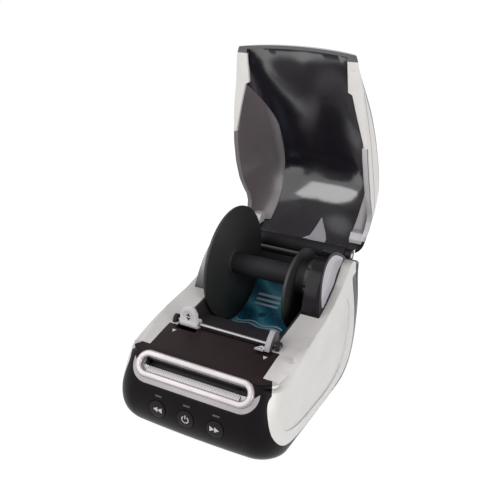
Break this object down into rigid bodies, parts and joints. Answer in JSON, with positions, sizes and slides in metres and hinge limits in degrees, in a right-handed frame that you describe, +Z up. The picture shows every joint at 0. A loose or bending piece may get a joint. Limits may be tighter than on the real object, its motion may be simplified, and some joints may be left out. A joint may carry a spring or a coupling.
{
  "type": "label printer",
  "caption": "Desktop thermal label printer with its tall lid open, an empty label spool in the bin, silver label exit and front keys.",
  "frame": {"origin": "on the desk plane under the middle of the housing's footprint", "axes": "+X to the printer's right as seen from the front, +Y to the back, +Z up; the front faces -Y"},
  "size_m": [0.1274, 0.236, 0.2528],
  "materials": {
    "white_shell": "satin moulded, fine grain",
    "black_shell": "polished, soft reflections",
    "black_satin": "fine matt grain",
    "black_matt": "matt",
    "silver_trim": "satin silver",
    "dark_liner": "satin dark grey",
    "lilac_inlay": "polished pale grey",
    "grey_parts": "satin mid grey",
    "printed_card": "coated printed card",
    "steel": "ground bright",
    "tinned_steel": "zinc plated",
    "platen_rubber": "ground matt",
    "foot_rubber": "moulded matt",
    "gear_resin": "natural moulded",
    "circuit_board": "solder mask",
    "sink_alloy": "plain extruded",
    "head_ceramic": "glazed line on ceramic",
    "brass_bush": "plain turned",
    "clear_pipe": "frosted clear",
    "socket_black": "moulded"
  },
  "bodies": {
    "housing": {"base_tray": "black_satin", "rubber_feet": "foot_rubber", "right_side_panel": "white_shell", "left_side_panel": "white_shell", "exit_ring": "silver_trim", "exit_chute": "silver_trim", "tear_bar": "steel", "exit_apron": "silver_trim", "light_pipes": "clear_pipe", "front_fascia": "black_satin", "deck_cover": "black_satin", "button_board": "circuit_board", "main_board": "circuit_board", "usb_socket": "tinned_steel", "power_socket": "socket_black", "rear_shell": "black_satin", "label_bin": "black_shell", "right_ear": "black_shell", "left_ear": "black_shell", "ear_inlays": "lilac_inlay", "tray_card": "printed_card", "print_frame": "tinned_steel", "platen_bushes": "brass_bush", "idler_post": "steel", "stepper_motor": "tinned_steel", "head_pivot_pin": "steel", "label_sensor": "socket_black", "guide_rod": "steel", "rod_brackets": "black_matt", "hinge_pins": "steel"},
    "lid": {"lid_shell": "black_shell", "hinge_bar": "black_shell", "right_lid_panel": "white_shell", "left_lid_panel": "white_shell", "right_lid_liner": "dark_liner", "left_lid_liner": "dark_liner", "lid_end_blocks": "grey_parts", "lid_buffers": "foot_rubber"},
    "spool": {"spool_disc": "black_matt", "spool_spindle": "black_matt"},
    "spool_stop": {"spool_guide": "black_matt"},
    "side_guide": {"label_guide": "grey_parts"},
    "lever": {"release_lever": "grey_parts"},
    "head": {"print_head": "head_ceramic", "head_bracket": "sink_alloy", "head_spring": "steel"},
    "platen": {"platen_shaft": "steel", "platen_roller": "platen_rubber", "platen_gear": "gear_resin"},
    "idler": {"idler_gear": "gear_resin"},
    "motor_rotor": {"motor_pinion": "brass_bush"},
    "key_rewind": {"rewind_button": "black_satin"},
    "key_power": {"power_button": "black_satin"},
    "key_forward": {"forward_button": "black_satin"}
  },
  "joints": [
    {"name": "lid_hinge", "type": "hinge", "parent": "housing", "child": "lid", "pos_m": [0, 0.0882, 0.0869], "axis": [1, 0, 0], "range_deg": [0, 90.7]},
    {"name": "spool_spin", "type": "hinge", "parent": "housing", "child": "spool", "pos_m": [0, 0.034, 0.0845], "axis": [1, 0, 0], "continuous": true},
    {"name": "spool_guide_slide", "type": "slide", "parent": "spool", "child": "spool_stop", "axis": [1, 0, 0], "range_m": [-0.048, 0]},
    {"name": "label_guide_slide", "type": "slide", "parent": "housing", "child": "side_guide", "axis": [1, 0, 0], "range_m": [-0.044, 0]},
    {"name": "release_lever_turn", "type": "hinge", "parent": "housing", "child": "lever", "pos_m": [0, -0.0388, 0.0655], "axis": [1, 0, 0], "range_deg": [0, 25]},
    {"name": "print_head_lift", "type": "hinge", "parent": "housing", "child": "head", "pos_m": [0, -0.0464, 0.0522], "axis": [-1, 0, 0], "range_deg": [0, 3]},
    {"name": "rewind_press", "type": "slide", "parent": "housing", "child": "key_rewind", "axis": [0, 1, 0], "range_m": [0, 0.0008], "stiffness_N_per_m": 300},
    {"name": "power_press", "type": "slide", "parent": "housing", "child": "key_power", "axis": [0, 1, 0], "range_m": [0, 0.0008], "stiffness_N_per_m": 300},
    {"name": "forward_press", "type": "slide", "parent": "housing", "child": "key_forward", "axis": [0, 1, 0], "range_m": [0, 0.0008], "stiffness_N_per_m": 300},
    {"name": "platen_spin", "type": "hinge", "parent": "housing", "child": "platen", "pos_m": [0, -0.07, 0.042], "axis": [1, 0, 0], "continuous": true},
    {"name": "idler_spin", "type": "hinge", "parent": "housing", "child": "idler", "pos_m": [0, -0.05192, 0.0386], "axis": [1, 0, 0], "continuous": true},
    {"name": "motor_spin", "type": "hinge", "parent": "housing", "child": "motor_rotor", "pos_m": [0, -0.052, 0.025], "axis": [1, 0, 0], "continuous": true}
  ],
  "couplings": [
    {"joint": "idler_spin", "follows": "platen_spin", "ratio": -1.0909},
    {"joint": "motor_spin", "follows": "platen_spin", "ratio": 2},
    {"joint": "print_head_lift", "follows": "release_lever_turn", "ratio": 0.12}
  ]
}
